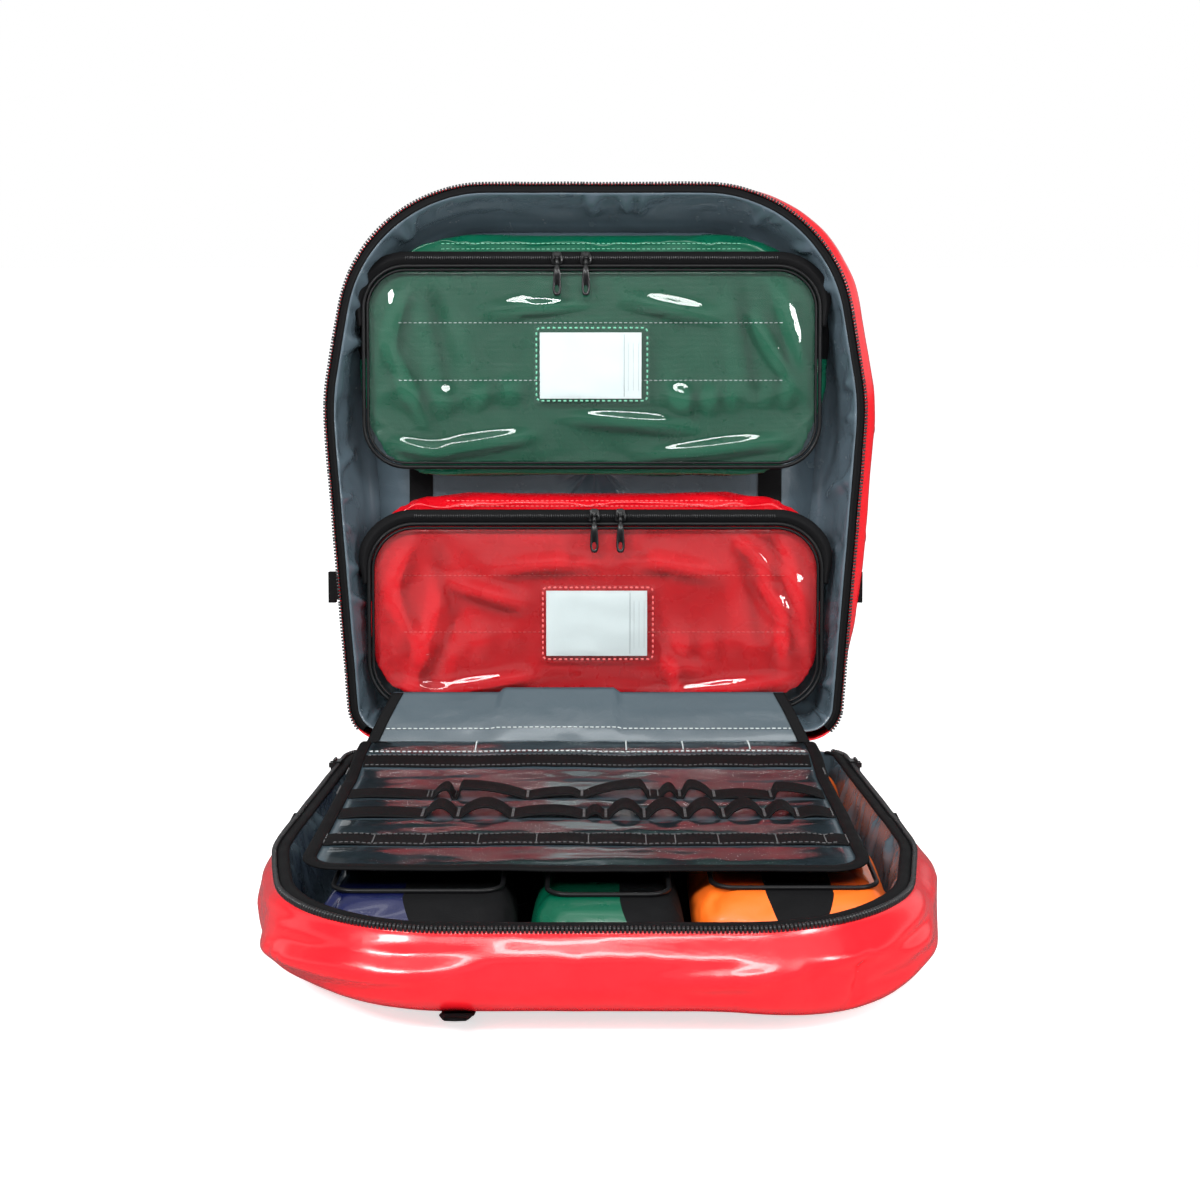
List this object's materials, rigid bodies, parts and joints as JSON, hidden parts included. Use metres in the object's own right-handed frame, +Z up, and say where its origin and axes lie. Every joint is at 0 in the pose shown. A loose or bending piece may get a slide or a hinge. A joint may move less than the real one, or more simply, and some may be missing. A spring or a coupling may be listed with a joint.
{
  "type": "trauma backpack",
  "caption": "Open clamshell trauma backpack with clear-window pouches in its lid, a loop flap over packed base pouches, and a flat harness beneath.",
  "frame": {"origin": "on the floor, under the middle of the object's bounding box, with the base lying on its harness and the lid standing open", "axes": "+Z up, +X to the right of the person packing it, -Y towards that person; the hinge runs along X"},
  "size_m": [0.4584, 0.5822, 0.544],
  "materials": {
    "red_shell": "glossy PVC-coated fabric",
    "grey_lining": "glossy coated fabric",
    "grey_flap": "glossy coated fabric",
    "red_pouch": "glossy coated fabric",
    "green_pouch": "glossy coated fabric",
    "navy_pouch": "glossy coated fabric",
    "orange_pouch": "coated fabric",
    "clear_vinyl": "clear flexible vinyl",
    "label_card": "smooth",
    "zip_metal": "black enamel",
    "black_plastic": "moulded",
    "zip_coil": "coil",
    "black_padding": "woven over foam",
    "black_piping": "bound edge",
    "black_webbing": "woven"
  },
  "bodies": {
    "base": {"base_panel": "red_shell", "base_gusset": "red_shell", "base_lining": "grey_lining", "base_zip_tape": "black_webbing", "base_zip_teeth": "zip_coil", "hinge_tape": "grey_flap", "base_side_tabs": "black_webbing", "blue_pouch_body": "navy_pouch", "blue_pouch_window": "clear_vinyl", "small_green_pouch_body": "green_pouch", "small_green_pouch_window": "clear_vinyl", "orange_front_pouch_body": "orange_pouch", "orange_front_pouch_window": "clear_vinyl", "orange_back_pouch_body": "orange_pouch", "orange_back_pouch_window": "clear_vinyl", "back_pad": "black_padding", "shoulder_strap_left": "black_padding", "shoulder_strap_right": "black_padding", "strap_webbing": "black_webbing", "ladder_locks": "black_plastic", "grab_handle": "black_webbing"},
    "lid": {"lid_panel": "red_shell", "lid_gusset": "red_shell", "lid_lining": "grey_lining", "lid_zip_tape": "black_webbing", "lid_zip_teeth": "zip_coil", "lid_loop_strips": "black_webbing", "lid_side_tabs": "black_webbing", "flap_anchor_strip": "grey_flap"},
    "green_pouch": {"green_pouch_body": "green_pouch", "green_pouch_window": "clear_vinyl", "green_pouch_piping": "black_piping", "green_pouch_zip_tape": "black_webbing", "green_label_pocket": "clear_vinyl", "green_label_card": "label_card"},
    "red_pouch": {"red_pouch_body": "red_pouch", "red_pouch_window": "clear_vinyl", "red_pouch_piping": "black_piping", "red_pouch_zip_tape": "black_webbing", "red_label_pocket": "clear_vinyl", "red_label_card": "label_card"},
    "flap": {"flap_sheet": "grey_flap", "flap_binding": "black_webbing", "flap_clear_pockets": "clear_vinyl", "flap_elastic_bands": "black_webbing", "flap_elastic_loops": "black_webbing"},
    "green_slider_left": {"green_slider_left": "zip_metal"},
    "green_slider_right": {"green_slider_right": "zip_metal"},
    "green_pull_left": {"green_pull_left": "zip_metal"},
    "green_pull_right": {"green_pull_right": "zip_metal"},
    "red_slider_left": {"red_slider_left": "zip_metal"},
    "red_slider_right": {"red_slider_right": "zip_metal"},
    "red_pull_left": {"red_pull_left": "zip_metal"},
    "red_pull_right": {"red_pull_right": "zip_metal"},
    "main_slider_left": {"main_slider_left": "zip_metal"},
    "main_slider_right": {"main_slider_right": "zip_metal"},
    "main_pull_left": {"main_pull_left": "zip_metal"},
    "main_pull_right": {"main_pull_right": "zip_metal"}
  },
  "joints": [
    {"name": "lid_hinge", "type": "hinge", "parent": "base", "child": "lid", "pos_m": [0, 0.176, 0.08], "axis": [-1, 0, 0], "range_deg": [-95.5, 84]},
    {"name": "green_pouch_lift_off", "type": "slide", "parent": "lid", "child": "green_pouch", "axis": [0, -0.9945, 0.1045], "range_m": [0, 0.11]},
    {"name": "red_pouch_lift_off", "type": "slide", "parent": "lid", "child": "red_pouch", "axis": [0, -0.9945, 0.1045], "range_m": [0, 0.11]},
    {"name": "flap_lift", "type": "hinge", "parent": "base", "child": "flap", "pos_m": [0, 0.167, 0.0815], "axis": [-1, 0, 0], "range_deg": [0, 88]},
    {"name": "green_zip_left", "type": "slide", "parent": "green_pouch", "child": "green_slider_left", "axis": [-1, 0, 0], "range_m": [0, 0.105]},
    {"name": "green_pull_left_swing", "type": "hinge", "parent": "green_slider_left", "child": "green_pull_left", "pos_m": [-0.032, 0.23067, 0.48149], "axis": [-1, 0, 0], "range_deg": [0, 150]},
    {"name": "green_zip_right", "type": "slide", "parent": "green_pouch", "child": "green_slider_right", "axis": [1, 0, 0], "range_m": [0, 0.105]},
    {"name": "green_pull_right_swing", "type": "hinge", "parent": "green_slider_right", "child": "green_pull_right", "pos_m": [-0.008, 0.23067, 0.48149], "axis": [-1, 0, 0], "range_deg": [0, 150]},
    {"name": "red_zip_left", "type": "slide", "parent": "red_pouch", "child": "red_slider_left", "axis": [-1, 0, 0], "range_m": [0, 0.105]},
    {"name": "red_pull_left_swing", "type": "hinge", "parent": "red_slider_left", "child": "red_pull_left", "pos_m": [-0.001, 0.2083, 0.26866], "axis": [-1, 0, 0], "range_deg": [0, 150]},
    {"name": "red_zip_right", "type": "slide", "parent": "red_pouch", "child": "red_slider_right", "axis": [1, 0, 0], "range_m": [0, 0.105]},
    {"name": "red_pull_right_swing", "type": "hinge", "parent": "red_slider_right", "child": "red_pull_right", "pos_m": [0.021, 0.2083, 0.26866], "axis": [-1, 0, 0], "range_deg": [0, 150]},
    {"name": "main_zip_right", "type": "slide", "parent": "base", "child": "main_slider_right", "axis": [0.0759, -0.9971, 0], "range_m": [0, 0.09]},
    {"name": "main_pull_right_swing", "type": "hinge", "parent": "main_slider_right", "child": "main_pull_right", "pos_m": [0.21451, 0.12446, 0.0756], "axis": [0.0759, -0.9971, 0], "range_deg": [0, 120]},
    {"name": "main_zip_left", "type": "slide", "parent": "base", "child": "main_slider_left", "axis": [-0.0759, -0.9971, 0], "range_m": [0, 0.09]},
    {"name": "main_pull_left_swing", "type": "hinge", "parent": "main_slider_left", "child": "main_pull_left", "pos_m": [-0.21451, 0.12446, 0.0756], "axis": [0.0759, 0.9971, 0], "range_deg": [0, 120]}
  ]
}
